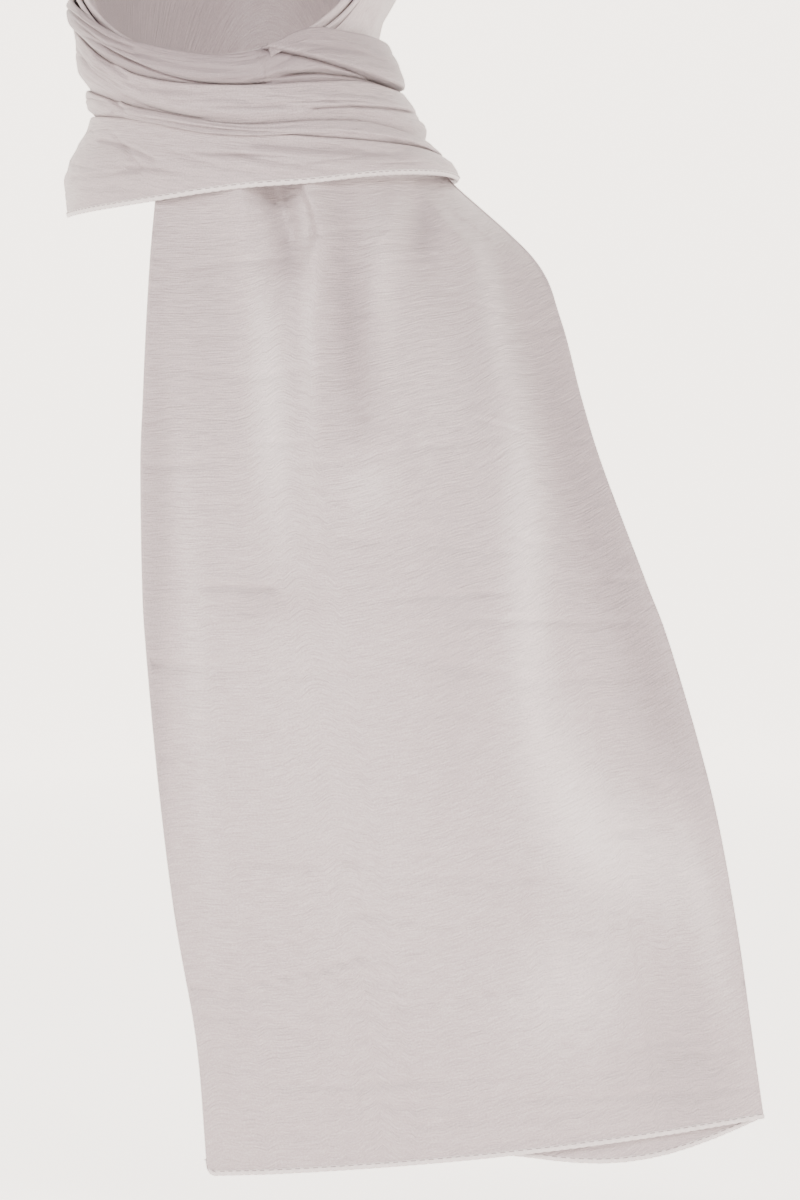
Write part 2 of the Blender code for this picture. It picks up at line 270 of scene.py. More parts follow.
def finished_cloth(name, node, points, painted_light, ring):
    """The grid as a piece with a wall of cloth, standing for its solid."""
    piece = bpy.data.objects.new(name, cloth_mesh(name, points, painted_light, ring))
    bpy.context.scene.collection.objects.link(piece)
    piece.data.materials.append(satin)
    wall = piece.modifiers.new("wall", "SOLIDIFY")
    wall.thickness = CLOTH
    wall.offset = 0
    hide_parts(node)
    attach(piece, "root")


satin = crinkled_satin("crinkled_satin")
depth, turn = np.meshgrid(np.linspace(0, 1, COVER_GRID[0]),
                          np.arange(COVER_GRID[1]) * math.tau / COVER_GRID[1], indexing="ij")
inner_points = cover_surface(depth, turn)
inner_normal = outward(inner_points)
inner_relief = crinkles(turn * HEAD_RADIUS, depth * COVER_LENGTH, **INNER_CRINKLES)
inner_relief = inner_relief * eased(4 * depth)
inner_points = inner_points + inner_normal * inner_relief[..., None]
inner_points = rolled_edge(inner_points, inner_normal)
inner_painted_light = np.zeros(inner_points.shape[:2])
finished_cloth("inner_layer", "inner_cover", inner_points, inner_painted_light, True)


# The second layer over the head: the same length of satin brought round again, its folded edge
# set back from the face, further on the +X side, with soft folds drawn down to the neck.
SET_BACK = (0.05, 0.10)
LAYER_GAP = 2.8 * MM
COVER_FOLDS = 7
FOLD_HEIGHT = 3.0 * MM
FOLDS_END = 0.78
DRAWN_CRINKLES = dict(seed=23, count=110, length=110 * MM, width=3.0 * MM, height=1.3 * MM)
DRAWN_LIFT = 0.6 * MM

share, turn = np.meshgrid(np.linspace(0, 1, COVER_GRID[0]),
                          np.arange(COVER_GRID[1]) * math.tau / COVER_GRID[1], indexing="ij")
set_back = SET_BACK[0] + (SET_BACK[1] - SET_BACK[0]) * (1 + np.sin(turn)) / 2
outer_points = cover_surface(set_back + (1 - set_back) * share, turn)
outer_normal = outward(outer_points)
fading = eased(share / (FOLDS_END / 2)) * eased((FOLDS_END - share) / (FOLDS_END / 3))
folds = (1 + np.cos(COVER_FOLDS * turn + 0.8 * np.sin(4 * share))) / 2
drawn = crinkles(share * COVER_LENGTH, turn * HEAD_RADIUS, **DRAWN_CRINKLES)
lift = LAYER_GAP + FOLD_HEIGHT * folds * fading
lift = lift + (drawn + DRAWN_LIFT) * eased(6 * share) * fading
outer_points = outer_points + outer_normal * lift[..., None]
# Painted highlight on the fold crests and painted shade in their valleys.
outer_painted_light = 0.35 * (folds - 0.5) * fading
outer_painted_light = carried_over(outer_painted_light)
outer_points = rolled_edge(outer_points, outward(outer_points))
finished_cloth("outer_layer", "outer_cover", outer_points, outer_painted_light, True)


# The stretch close under the chin: the shawl pulled round the neck, gathered into rolls on the
# +X side. Each stretch round the neck is the same satin, tucked behind the next one down.
NECK_AXIS = np.array([9.0, 2.0]) * MM
SWELL = 2.2 * MM             # how far a stretch puffs out between its edges
TUCK = 4.2 * MM
STEP_IN = 2.7 * MM
LAP = 5.0 * MM
LAP_SHARE = 0.4
TURNS_IN = 0.62
LAP_ROWS = 8
NECK_CRINKLES = dict(length=70 * MM, width=1.6 * MM, height=1.0 * MM)
CREASE_SHADE_DEPTH = 2.5 * MM        # a crease this deep gets the darkest painted shade
RING_COLUMNS = 380
FORM_ANGLES = (-90, -45, 0, 45, 90, 135, 180, 225)
FORM_LEVELS = (
    (-190, 84, 96, 98, 88, 76, 86, 97, 95),
    (-205, 83, 97.6, 98.5, 85, 68, 83, 95, 93),
    (-215, 81, 98, 99.5, 82, 60, 80, 93, 90),
    (-225, 76, 97.4, 100, 80, 57.5, 76, 91, 87),
    (-235, 74, 96.4, 100.4, 81, 61.5, 75, 90, 84),
    (-245, 73.5, 93.2, 100.4, 82, 67.5, 76, 89.5, 83),
    (-255, 72, 90, 100.4, 85, 71.5, 79, 90, 83),
    (-262, 74, 90, 101.3, 88, 77, 82, 91, 84),
    (-270, 79, 90.5, 102, 91.5, 80.5, 85, 92.5, 87),
    (-277, 82.5, 92.5, 103.5, 95, 89, 89, 94, 90),
    (-285, 85, 94.5, 105, 98, 92.7, 93, 96, 93),
    (-302, 85, 95, 106, 99, 93, 96, 99, 95),
)
EDGE_COLUMNS = "angle chin upper middle lower hem"
EDGES = (
    (-90, -200, -213.6, -244.5, -258, -301.5),
    (-60, -208, -222.3, -246.9, -257.9, -301.3),
    (-30, -225.9, -241.5, -255.9, -260.8, -297.5),
    (0, -230.2, -245.5, -263.1, -266.7, -291),
    (15, -219.6, -244, -261.3, -268.5, -288.9),
    (30, -220.8, -242.8, -260.8, -269.6, -285.8),
    (60, -225.3, -246, -266.2, -271.8, -283.8),
    (90, -226, -246.9, -269.4, -275.2, -285.6),
    (135, -224, -240, -262, -272, -287),
    (180, -206, -228, -250, -265, -288),
    (225, -199, -218, -245, -259, -292),
)

# Creases seen from the front: x and z at both ends and half way, how wide and deep the valley
# is, how far the cloth above it bulges, and how wide that bulge is.
CREASE_COLUMNS = "x0 z0 x1 z1 x2 z2 width depth lip lip_width"
CHIN_CREASES = (
    (8, -228, 46, -235.2, 82, -248, 0.9, 3.4, 2.8, 7),
    (18, -240.4, 48, -239.4, 78, -245, 0.8, 2.8, 1.4, 3),
    (6, -243.6, 24, -240.6, 44, -237.4, 0.9, 1.6, 0.8, 3),
    (-64, -223, -30, -239.6, 22, -242.6, 0.8, 2.4, 1.6, 5),
    (-80, -203, -62, -219, -42, -228, 1.0, 1.2, 0.7, 3),
    (-50, -228, -20, -236, 15, -238, 1.6, 0.6, 0.5, 3),
    (30, -226, 52, -228, 70, -233, 1.4, 0.7, 0.4, 2),
)


def round_the_neck(angle, angles, values):
    """flowing() on a closed ring of angles, in degrees."""
    once = np.asarray(angles, float)
    knots = np.concatenate([once - 360, once, once + 360])
    return flowing((angle + 90) % 360 - 90, knots, np.tile(values, 3))


def form_radius(angle, z):
    """How far the outermost cloth is from the neck axis: each level's ring, linear between."""
    levels = np.array(FORM_LEVELS, float)[::-1]
    heights = levels[:, 0] * MM
    stack = np.stack([round_the_neck(angle, FORM_ANGLES, level[1:] * MM) for level in levels], -1)
    row = np.clip(np.searchsorted(heights, z) - 1, 0, len(heights) - 2)
    between = eased((z - heights[row]) / (heights[row + 1] - heights[row])) * 0.5
    between = between + 0.5 * np.clip((z - heights[row]) / (heights[row + 1] - heights[row]), 0, 1)
    low = np.take_along_axis(stack, row[..., None], axis=-1)[..., 0]
    high = np.take_along_axis(stack, row[..., None] + 1, axis=-1)[..., 0]
    return low + (high - low) * between


def edge_height(name, angle):
    """The height of a named edge at each angle round the neck."""
    edges = table(EDGE_COLUMNS, EDGES)
    return round_the_neck(angle, edges["angle"] / MM, edges[name])


def at_neck(angle, radius, z):
    """Points at an angle and distance from the neck axis."""
    turned = np.radians(angle)
    x = NECK_AXIS[0] + radius * np.sin(turned)
    return np.stack([x, NECK_AXIS[1] - radius * np.cos(turned), z], axis=-1)


def creases(x, z, rows):
    """Long creases in a front view: each follows a parabola through its three points.

    Across it the cloth drops into a bell-shaped valley; above it a lip rises within one width
    and falls away over lip_width. Both fade over the last tenth of its length.
    """
    relief = np.zeros_like(x)
    columns = table(CREASE_COLUMNS, rows).values()
    for x0, z0, x1, z1, x2, z2, width, depth, lip, lip_width in zip(*columns):
        bend = np.polyfit((x0, x1, x2), (z0, z1, z2), 2)
        off = z - np.polyval(bend, np.clip(x, x0, x2))
        along = np.clip((x - x0) / (x2 - x0), 0, 1)
        ends = eased(10 * along) * eased(10 * (1 - along))
        valley = -depth * np.exp(-((off / width) ** 2))
        bulge = lip * eased(off / width) * np.exp(-np.clip(off, 0, None) / lip_width)
        relief += (valley + bulge) * ends
    return relief


def wound(edges, rows, long_creases, seed, count, swell=SWELL, tucked=True):
    """A stretch round the neck, from its top edge down and, if tucked, on behind the next one.

    The height goes evenly from edge to edge; the distance from the axis is the outermost form,
    puffed out by a sine between the edges, and drawn in where it passes behind.
    """
    angles = np.arange(RING_COLUMNS) * 360 / RING_COLUMNS - 180
    shown = np.linspace(0, 1, rows)
    beyond = np.linspace(1, 2, LAP_ROWS + 1)[1:] if tucked else []
    share, angle = np.meshgrid(np.append(shown, beyond), angles, indexing="ij")
    heights = [edge_height(edge, angle) for edge in edges]
    top, bottom = heights[:2]
    z = top + (bottom - top) * np.minimum(share, 1)
    inside = np.zeros_like(z)
    if tucked:
        lap = np.minimum(LAP, LAP_SHARE * (bottom - heights[2]))
        z = z - lap * np.clip(share - 1, 0, 1)
        inside = STEP_IN * eased((share - TURNS_IN) / (1 - TURNS_IN))
        inside = inside + (TUCK - STEP_IN) * eased(share - 1)
    radius = form_radius(angle, z) + swell * np.sin(np.pi * np.minimum(share, 1)) - inside
    x = NECK_AXIS[0] + radius * np.sin(np.radians(angle))
    facing = eased(2 * np.cos(np.radians(angle)) + 0.4)
    fading = eased(5 * share) * eased(4 * (1.02 - share))
    relief = creases(x, z, long_creases) * facing * eased(4 * (1.1 - share))
    fine = crinkles(np.radians(angle) * HEAD_RADIUS, z - top, seed, count, **NECK_CRINKLES)
    relief = relief + fine * fading
    points = at_neck(angle, radius + relief, z)
    # Painted shade in the creases and painted highlight on the bulges, by how deep or high the
    # relief is.
    tone = np.clip(relief / CREASE_SHADE_DEPTH, -1, 1) * 0.5
    return rolled_edge(points, outward(points)), carried_over(tone)


chin_points, chin_painted_light = wound(("chin", "upper", "middle"), 84, CHIN_CREASES, 31, 60)
# Painted shadow, as cast by the chin and head, darkens the whole stretch.
finished_cloth("chin_stretch", "chin_wrap", chin_points, chin_painted_light - 1.4, True)


# The next stretch down: one broad roll of satin with a crease that divides it on the +X side.
UPPER_CREASES = (
    (34, -255.6, 58, -253.8, 84, -255.2, 0.8, 1.8, 1.0, 4),
    (-63, -229, -56, -234.4, -46, -242, 1.4, 1.0, 0.6, 3),
    (-52, -247, -34, -255, -12, -260, 1.0, 1.5, 1.0, 4),
    (0, -252, 26, -254.6, 52, -257, 2.2, 0.6, 0.5, 4),
    (-45, -243, -10, -250, 20, -251, 2.4, 0.5, 0.4, 4),
)

upper_points, upper_painted_light = wound(("upper", "middle", "lower"), 70, UPPER_CREASES, 37, 60)
# Painted shade darkens the whole stretch, less than under the chin.
finished_cloth("upper_stretch", "upper_wrap", upper_points, upper_painted_light - 0.6, True)


# A narrow stretch between them, mostly hidden: it widens to a second roll on the +X side.
MIDDLE_SWELL = 1.6 * MM
MIDDLE_CREASES = (
    (-60, -246, -55, -250, -48, -256, 1.2, 0.8, 0.5, 2),
    (40, -266, 62, -267, 84, -270, 1.0, 0.8, 0.4, 2),
)

middle_points, middle_painted_light = wound(("middle", "lower", "hem"), 44, MIDDLE_CREASES, 41, 30,
                                     swell=MIDDLE_SWELL)
# Painted shade darkens the whole stretch, less than under the chin.
finished_cloth("middle_stretch", "middle_wrap", middle_points, middle_painted_light - 0.5, True)


# The lowest stretch, which ends in the shawl's own edge: a narrow hem, folded twice and sewn
# with one row of grey thread, that draws the edge into tiny scallops.
LOWER_SWELL = 1.8 * MM
LOWER_CREASES = (
    (6, -271, 44, -273.6, 82, -275.5, 2.6, 1.5, 0.7, 3),
    (-62, -268, -48, -272, -34, -279, 1.4, 1.2, 0.8, 3),
    (-54, -266, -46, -275, -40, -283, 1.6, 0.9, 0.6, 3),
    (-30, -272, 0, -283, 30, -284.5, 2.0, 0.6, 0.5, 3),
    (-76, -285, -60, -284, -40, -282, 1.8, 0.8, 0.6, 4),
)
HEM_WIDTH = 2.4 * MM
HEM_THICKNESS = 1.2 * MM
STITCH_PITCH = 4.0 * MM
STITCH_LENGTH = 2.5 * MM
STITCH_THICKNESS = 0.5 * MM
SCALLOP = 0.25 * MM
STITCHES_UP = 0.78           # how far up the hem the stitches lie
STITCHES_OUT = 0.4           # how far out of its middle, in thicknesses
HEM_SIDES = 10
STITCH_SIDES, STITCH_RINGS = 6, 4
POINTS_A_STITCH = 5
THREAD_COLOUR, THREAD_SHADE = "#8b8083", "#7a6f72"
HEM_LIGHT, HEM_SHADE = "#c9c1c2", "#a3999b"
HEM_GRAIN = 1.1 * MM         # drawn coarser than the weave, so that it shows


def evenly(path, step, closed):
    """Points at equal distances along a path, each with its place along it in metres."""
    if closed:
        path = np.concatenate([path, path[:1]])
    along = np.concatenate([[0], np.cumsum(np.linalg.norm(np.diff(path[:, :3], axis=0), axis=1))])
    count = int(round(along[-1] / step))
    places = np.arange(count if closed else count + 1) * along[-1] / count
    return np.stack([np.interp(places, along, column) for column in path.T], axis=1), places


def swept(name, path, closed, across, up, width, height, material):
    """A tube along a path: an ellipse of width (along up) by height, set round each point."""
    turns = np.arange(HEM_SIDES) * math.tau / HEM_SIDES
    ring = (path[:, None] + up[:, None] * (np.cos(turns)[:, None] * width[:, None, None] / 2)
            + across[:, None] * (np.sin(turns)[:, None] * height / 2))
    index = np.arange(len(ring) * HEM_SIDES).reshape(-1, HEM_SIDES)
    index = np.concatenate([index, index[:, :1]], axis=1)
    if closed:
        index = np.concatenate([index, index[:1]])
    corners = (index[:-1, :-1], index[:-1, 1:], index[1:, 1:], index[1:, :-1])
    faces = np.stack(corners, axis=-1).reshape(-1, 4).tolist()
    if not closed:
        faces += [index[0, :-1].tolist()[::-1], index[-1, :-1].tolist()]
    mesh = bpy.data.meshes.new(name)
    mesh.from_pydata(ring.reshape(-1, 3), [], faces)
    mesh.shade_smooth()
    mesh.materials.append(material)
    piece = bpy.data.objects.new(name, mesh)
    bpy.context.scene.collection.objects.link(piece)
    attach(piece, "root")


def unit(vectors):
    """The same directions with length 1."""
    return vectors / np.linalg.norm(vectors, axis=-1, keepdims=True)


def stitch_row(name, centres, along, out, material):
    """A row of stitches: each a small spindle, 6 sides by 4 rings, thickest in the middle."""
    ends = np.array([-1, -0.7, 0.7, 1.0])
    thick = np.array([0.35, 1.0, 1.0, 0.35])
    turns = np.arange(STITCH_SIDES) * math.tau / STITCH_SIDES
    side = np.cross(along, out)
    round_it = (out[:, None, None] * np.cos(turns)[:, None]
                + side[:, None, None] * np.sin(turns)[:, None])
    body = (centres[:, None, None]
            + along[:, None, None] * (ends * STITCH_LENGTH / 2)[:, None, None]
            + round_it * (thick * STITCH_THICKNESS / 2)[:, None, None])
    one = np.arange(STITCH_RINGS * STITCH_SIDES).reshape(STITCH_RINGS, STITCH_SIDES)
    caps = np.stack([one[0], one[-1, ::-1]])
    one = np.concatenate([one, one[:, :1]], axis=1)
    corners = (one[:-1, :-1], one[1:, :-1], one[1:, 1:], one[:-1, 1:])
    quads = np.stack(corners, axis=-1).reshape(-1, 4)
    starts = np.arange(len(centres))[:, None, None] * STITCH_RINGS * STITCH_SIDES
    faces = ((quads + starts).reshape(-1, 4).tolist()
             + (caps + starts).reshape(-1, STITCH_SIDES).tolist())
    mesh = bpy.data.meshes.new(name)
    mesh.from_pydata(body.reshape(-1, 3), [], faces)
    mesh.shade_smooth()
    mesh.materials.append(material)
    piece = bpy.data.objects.new(name, mesh)
    bpy.context.scene.collection.objects.link(piece)
    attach(piece, "root")


def sewing_thread(name):
    """Spun polyester thread: matt, a shade darker than the cloth, its twist drawn as fine bands."""
    material = bpy.data.materials.new(name)
    material.use_nodes = True
    shader = material.node_tree.nodes["Principled BSDF"]
    place = add_node(material, "ShaderNodeTexCoord", {}).outputs["Object"]
    twist = add_node(material, "ShaderNodeTexNoise",
                     {"Vector": place, "Scale": 1500.0, "Detail": 1.0}).outputs["Fac"]
    tone = add_node(material, "ShaderNodeMix",
                    {"Factor": twist, "A": linear(THREAD_SHADE), "B": linear(THREAD_COLOUR)},
                    data_type="RGBA")
    material.node_tree.links.new(tone.outputs["Result"], shader.inputs["Base Color"])
    shader.inputs["Roughness"].default_value = 0.7
    return material


def folded_hem(name):
    """The hem's folded satin: the cloth's own colour, with its grain and no long strokes."""
    material = bpy.data.materials.new(name)
    material.use_nodes = True
    shader = material.node_tree.nodes["Principled BSDF"]
    place = add_node(material, "ShaderNodeTexCoord", {}).outputs["Object"]
    grain = add_node(material, "ShaderNodeTexNoise",
                     {"Vector": place, "Scale": 1 / HEM_GRAIN, "Detail": 2.0}).outputs["Fac"]
    tone = add_node(material, "ShaderNodeMix",
                    {"Factor": grain, "A": linear(HEM_SHADE), "B": linear(HEM_LIGHT)},
                    data_type="RGBA")
    material.node_tree.links.new(tone.outputs["Result"], shader.inputs["Base Color"])
    bump = add_node(material, "ShaderNodeBump",
                    {"Height": grain, "Strength": 0.4, "Distance": 0.2 * MM})
    material.node_tree.links.new(bump.outputs["Normal"], shader.inputs["Normal"])
    shader.inputs["Roughness"].default_value = 0.5
    shader.inputs["Sheen Weight"].default_value = 0.15
    return material


satin_thread = sewing_thread("polyester_thread")
hem_satin = folded_hem("folded_satin_hem")


def sewn_hem(name, edge, inner, closed, faces):
    """A folded hem round the edge of a sheet, with a row of stitches on each face in faces.

    edge and inner are rows of the grid, inner the one further up. The hem is a flat tube round
    the edge, wider between stitches, and the stitches lie near its upper side.
    """
    ahead = np.roll(edge, -1, axis=0) - np.roll(edge, 1, axis=0)
    if not closed:
        ahead = np.gradient(edge, axis=0)
    up = unit(inner - edge)
    out = unit(np.cross(ahead, up))
    line, places = evenly(np.concatenate([edge, up, out], axis=1),
                          STITCH_PITCH / POINTS_A_STITCH, closed)
    path, up, out = line[:, :3], unit(line[:, 3:6]), unit(line[:, 6:])
    width = HEM_WIDTH + 2 * SCALLOP * np.abs(np.sin(np.pi * places / STITCH_PITCH))
    swept(name, path + up * HEM_WIDTH / 2, closed, out, up, width, HEM_THICKNESS, hem_satin)
    along = unit(np.roll(path, -1, axis=0) - np.roll(path, 1, axis=0))[::POINTS_A_STITCH]
    middles = slice(POINTS_A_STITCH // 2, None, POINTS_A_STITCH)
    for face in faces:
        lifted = path + up * HEM_WIDTH * STITCHES_UP + out * face * HEM_THICKNESS * STITCHES_OUT
        centres = lifted[middles]
        side = "front" if face > 0 else "back"
        stitch_row(f"{name}_stitches_{side}", centres, along[:len(centres)], out[middles],
                   satin_thread)


lower_points, lower_painted_light = wound(("lower", "hem"), 110, LOWER_CREASES, 43, 90,
                                   swell=LOWER_SWELL, tucked=False)
# Painted shade darkens the whole stretch, less than under the chin.
finished_cloth("lower_stretch", "lower_wrap", lower_points, lower_painted_light - 0.35, True)
sewn_hem("lower_hem", lower_points[-1], lower_points[-4], True, (1,))


# The end that hangs in front: the last third of the shawl's length, folded at both long sides
# like a letter so that three layers lie on each other, gathered behind the lowest stretch.
# Same satin, same narrow hem along the end and along both long edges; only the end's hem is built.
LAYER_STEP = 3.0 * MM
GATHERED = 0.6
HEM_SAG = 4.0 * MM
BACK_DROP = 9.5 * MM
BACK_DROP_FROM = 0.55
TOP_ARC = (-27.0, 90.0)
FLAT_FROM = 0.35
TURNED_REACH = (0.95, 0.04)
PANEL_ROWS_DOWN = 262
PANEL_COLUMNS_FRONT = 112
PANEL_COLUMNS = "left_x left_z right_x right_z y0 y1 y2 y3 y4"
PANEL_ROWS = (
    (-35, -286, 98.5, -281.5, -84.5, -99.7, -83, -45, -1),
    (-35.6, -297.3, 101, -287, -86, -101.5, -85, -46.5, -2),
    (-37, -318.9, 137, -322, -95, -108, -97, -68, -34),
    (-38.3, -350.4, 148.5, -350.4, -107, -118, -112, -92, -63),
    (-39.6, -386.4, 157.5, -386.4, -118, -129, -128, -115, -89),
    (-40.5, -415.6, 167, -418, -127, -137, -139, -129, -105),
    (-39.6, -467.4, 185.4, -467.4, -137, -146, -149, -142, -119),
    (-37.8, -498.9, 197, -498.9, -140, -149, -152, -146, -122),
    (-32, -561.9, 215, -562.8, -140, -149, -152, -146, -123),
    (-24.8, -620.4, 226, -620.4, -138, -147, -150, -145, -123),
    (-15.3, -677.1, 233.6, -674.4, -136, -145, -148, -143, -122),
    (-10.8, -733.8, 238.5, -708.6, -135, -144, -147, -142, -121),
)

# Folds that run down the end. Each row is a place on the fold's line: how far it stands out
# there, and how far that reaches to the left and to the right.
FOLD_COLUMNS = "x z out left right"
TUCK_HOLLOW = (
    (19, -280, -19, 9, 9), (19.5, -290, -19, 8.5, 9), (20.5, -296, -15, 8, 8),
    (22.5, -301, -9.5, 8, 7), (26, -311, -8, 9, 5), (28, -321, -4.5, 9, 4),
    (26, -333, -1, 9, 6), (25, -344, 0, 9, 6),
)
TUCK_LIP = (
    (32, -280, 5, 2.5, 8), (33.5, -292, 6.5, 2, 8), (37, -301, 7.5, 1.8, 8),
    (38.8, -311, 7.5, 2, 8), (37.5, -321, 5.5, 3.4, 8), (37, -345, 3.8, 6, 8),
    (38, -385, 2.6, 7, 6), (38.5, -420, 1.4, 8, 6), (39, -450, 0, 8, 8),
)
LEFT_LIP = (
    (2, -282, 1.5, 7, 4), (4, -292, 3, 7, 3), (4.5, -308, 3.4, 8, 5), (9, -333, 3.2, 9, 8),
    (16, -352, 3.2, 9, 9), (20, -400, 2.6, 11, 10), (23, -445, 1.2, 12, 10), (24, -490, 0, 12, 12),
)
MIDDLE_RIDGE = (
    (74, -280, 3, 7, 5), (72.5, -292, 4, 7, 6), (66, -326, 4, 6, 8), (62.5, -348, 3.6, 4, 9),
    (64, -385, 3.2, 4, 11), (66, -412, 2, 5, 12), (70, -440, 0, 6, 12),
)
SHOULDER_HOLLOW = (
    (83, -284, 0, 6, 6), (85, -300, -3.2, 6, 7), (86, -313, -4.4, 7, 7),
    (89, -328, -2, 8, 8), (93, -345, 0, 9, 9),
)
SHOULDER_RIDGE = (
    (76, -279, 2.5, 4, 5), (84, -290, 3.4, 4, 5), (96, -306, 3.8, 5, 5), (108, -319, 4, 7, 5),
    (115, -336, 4, 9, 6), (119, -354, 4.4, 11, 7), (124, -374, 4.8, 13, 8), (129, -400, 4.8, 14, 9),
    (132, -440, 4.6, 15, 11), (133, -500, 3.6, 17, 14), (140, -560, 2.6, 19, 18),
    (150, -620, 1.6, 24, 20), (155, -690, 0, 24, 24),
)
RIGHT_HOLLOW = (
    (112, -292, 0, 7, 7), (124, -330, -2, 8, 9), (150, -390, -3, 11, 11),
    (160, -450, -2.4, 14, 14), (176, -530, -1.2, 18, 16), (190, -600, 0, 20, 18),
)
LOW_HOLLOW = (
    (95, -420, 0, 16, 16), (92, -480, -1.2, 20, 20), (84, -560, -1.6, 24, 22),
    (72, -640, -1.4, 26, 24), (62, -720, -1.0, 26, 24),
)
PANEL_FOLDS = (TUCK_HOLLOW, TUCK_LIP, LEFT_LIP, MIDDLE_RIDGE, SHOULDER_HOLLOW, SHOULDER_RIDGE,
               RIGHT_HOLLOW, LOW_HOLLOW)
FOLDS_START = (-283 * MM, 16 * MM)

# The turned margin down the left side: the line where it starts to fall away, at each height.
MARGIN_LINE = ((-330, -27), (-409, -25.2), (-476, -27), (-512, -25.2), (-548, -19.4), (-598, -17),
               (-634, -9), (-679, -1), (-706, 4), (-728, 15))
MARGIN_SLOPE = 0.32
MARGIN_RIDGE = 0.7 * MM

PANEL_CREASES = (
    (-15, -470, 0, -470.5, 22, -471.5, 1.3, 1.5, 0.9, 6),
    (4, -481, 8, -482.4, 13, -483, 0.9, 0.5, 0.2, 3),
    (-19, -412, -2, -411, 17, -411, 0.9, 0.4, 0.3, 3),
    (-19, -424, -2, -424.4, 14, -423, 0.9, 0.4, 0.3, 3),
    (-17, -435, 0, -434, 16, -434, 1.0, 0.4, 0.3, 3),
    (-18, -449, -2, -449, 14, -448, 1.0, 0.4, 0.3, 3),
    (127, -448, 136, -450.5, 145, -450, 1.0, 0.7, 0.5, 4),
    (139, -466, 160, -467, 184, -466, 1.0, 0.5, 0.4, 4),
    (166, -559, 178, -557.6, 192, -554, 1.1, 0.8, 0.5, 4),
    (170, -580, 186, -578, 203, -574, 1.1, 0.8, 0.5, 4),
    (126, -586, 142, -583, 158, -577, 1.0, 0.6, 0.4, 4),
    (182, -606, 190, -601, 199, -595, 1.0, 0.6, 0.4, 4),
    (150, -625, 172, -621, 192, -613, 1.1, 0.8, 0.5, 4),
    (-2, -592, 28, -594.5, 60, -591.5, 1.0, 0.9, 0.6, 5),
    (50, -592, 90, -590.6, 130, -585.5, 1.0, 0.7, 0.5, 5),
    (64, -608, 104, -605, 150, -597, 1.0, 0.7, 0.5, 5),
    (5, -633, 24, -629, 44, -624, 1.0, 0.7, 0.5, 4),
    (76, -624, 102, -621, 129, -617.5, 1.0, 0.6, 0.4, 4),
    (-22, -651, 20, -646, 64, -634, 1.1, 1.0, 0.7, 5),
    (17, -650, 42, -647, 70, -641, 1.0, 0.6, 0.4, 4),
    (-18, -662, 30, -662.4, 70, -658.5, 1.0, 0.8, 0.6, 5),
    (60, -659.5, 98, -655, 136, -645.5, 1.0, 0.8, 0.6, 5),
    (-16, -673.5, 25, -674, 70, -671, 1.0, 0.6, 0.4, 4),
    (-13, -694, 52, -693.5, 124, -688, 1.0, 0.5, 0.4, 4),
    (-12, -714, 52, -712.5, 124, -706.5, 1.0, 0.5, 0.4, 4),
    (145, -686, 165, -687, 186, -686, 1.0, 0.5, 0.4, 4),
    (155, -698, 176, -697, 199, -693.5, 1.0, 0.5, 0.4, 4),
    (9, -308, 20, -298, 30, -293, 1.2, 1.0, 0.6, 3),
    (13, -316, 20, -308, 28, -302, 1.0, 0.7, 0.4, 2),
    (16, -325, 22, -318, 29, -312, 1.0, 0.6, 0.4, 2),
    (64, -327, 78, -323, 95, -321, 0.9, 0.5, 0.3, 3),
    (96, -300, 106, -306, 116, -314, 1.0, 0.6, 0.4, 3),
    (94, -306, 104, -303.5, 116, -302, 0.9, 0.5, 0.3, 3),
    (104, -342, 114, -344, 128, -350, 0.9, 0.5, 0.3, 3),
    (108, -395, 120, -398, 136, -404, 0.9, 0.5, 0.3, 3),
)

# Painted highlight (strength above 0) and painted shade (below 0) in patches: middle, reach
# across and down, how far the middle moves across for each metre up, and how strong it is.
PAINTED_LIGHT_COLUMNS = "x z across down drift strength"
PAINTED_LIGHT_PATCHES = (
    (17, -385, 9, 58, -60, 0.75), (34, -350, 4, 70, -20, 0.45), (60, -425, 12, 16, 0, 0.5),
    (68, -335, 6, 42, -60, 0.35), (90, -385, 20, 30, -150, 0.3), (118, -352, 6, 40, -180, 0.6),
    (132, -452, 10, 78, -40, 0.85), (150, -560, 16, 40, -250, 0.7), (178, -590, 30, 28, -500, 0.75),
    (150, -650, 26, 30, 150, 0.5), (212, -620, 7, 60, -250, 0.35), (-16, -500, 6, 110, -60, 0.3),
    (30, -520, 40, 90, 0, 0.2), (76, -610, 40, 60, 0, 0.15), (-14, -340, 18, 52, 0, -0.25),
    (52, -345, 8, 56, -100, -0.75), (85, -311, 6, 16, 0, -0.6), (160, -430, 16, 90, -350, -0.55),
    (190, -520, 14, 50, -300, -0.55), (-34, -520, 6, 200, 0, -0.5), (16, -478, 18, 9, 0, -0.35),
    (205, -690, 22, 30, 0, -0.3), (24, -325, 8, 10, 0, -0.5), (100, -500, 14, 60, 0, -0.15),
)
STREAK_REACH = 5 * MM        # how far the broken edges of those patches shift across
STREAKS = dict(seed=53, count=500, length=26 * MM, width=0.9 * MM, height=1.0)
END_CRINKLES = dict(seed=47, count=380, length=75 * MM, width=2.3 * MM, height=1.3 * MM,
                    lean=0.03)
CREASES_DEEPER = 1.5
FINE_AT, FINE_WITHIN, FINE_BY = 0.42, 0.08, 1.6    # columns lie closer over the tuck


